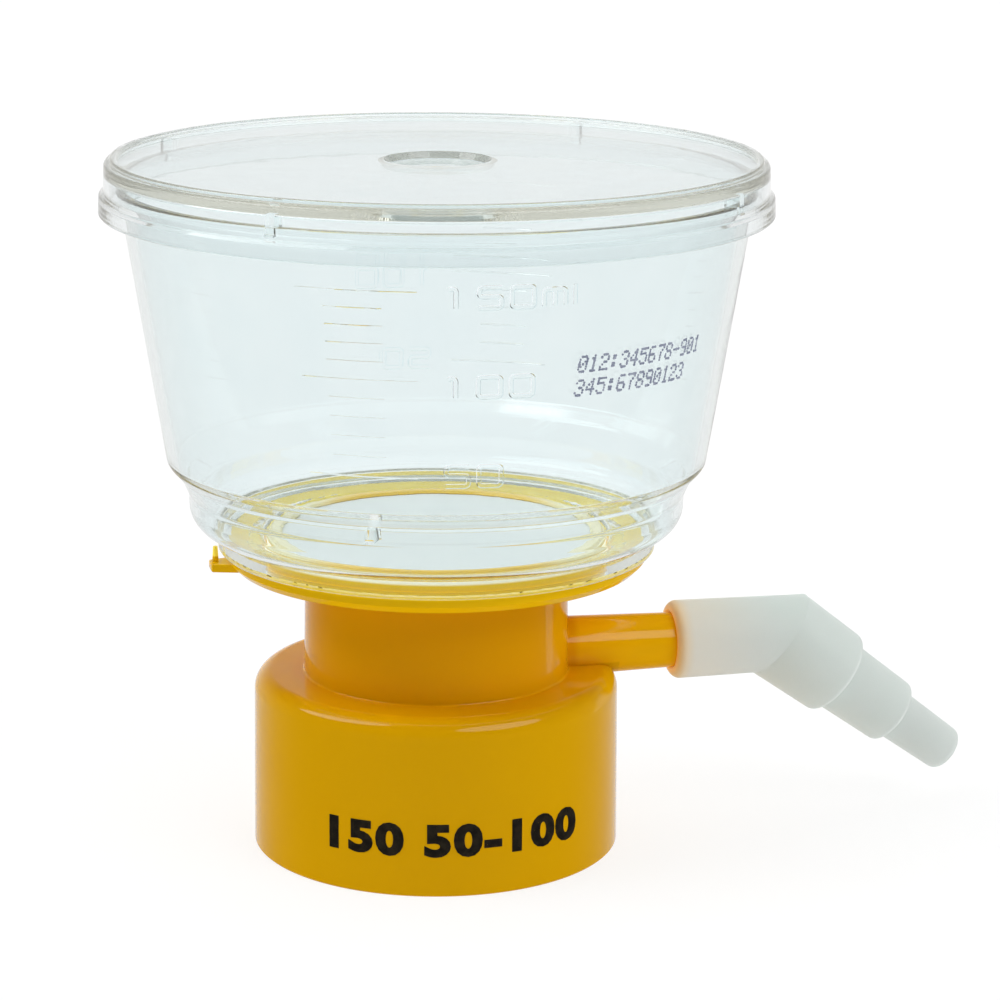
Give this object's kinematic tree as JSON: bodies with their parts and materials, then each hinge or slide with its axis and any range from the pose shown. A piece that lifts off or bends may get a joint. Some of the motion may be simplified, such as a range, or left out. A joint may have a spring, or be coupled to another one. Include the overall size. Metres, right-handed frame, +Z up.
{
  "type": "vacuum filtration unit",
  "caption": "Clear lidded funnel with a filter membrane on a yellow moulded base that screws on a bottle neck, with a vacuum side arm and a swivelling stepped hose adapter.",
  "frame": {"origin": "on the cap's axis, in the plane of the cap's rim, where the bottle's neck goes in", "axes": "+Z up along the axis of the cap and the funnel, -Y towards the printed and graduated front, +X towards the side arm, whose own axis is turned 12.2 degrees from +X towards +Y"},
  "size_m": [0.1163, 0.0872, 0.0923],
  "materials": {
    "yellow_plastic": "glossy warm yellow moulded plastic",
    "seal": "soft off-white sealing washer",
    "filter": "matt white porous membrane",
    "clear_plastic": "clear glossy polystyrene",
    "frosted_plastic": "soft translucent white polyethylene"
  },
  "bodies": {
    "unit": {"support_base": "yellow_plastic", "neck_gasket": "seal", "membrane": "filter", "funnel": "clear_plastic", "lid": "clear_plastic"},
    "adapter": {"hose_adapter": "frosted_plastic"}
  },
  "joints": [
    {"name": "adapter_swivel", "type": "hinge", "parent": "unit", "child": "adapter", "pos_m": [0.03909, 0.00845, 0.02535], "axis": [0.9774, 0.2113, 0], "continuous": true}
  ]
}
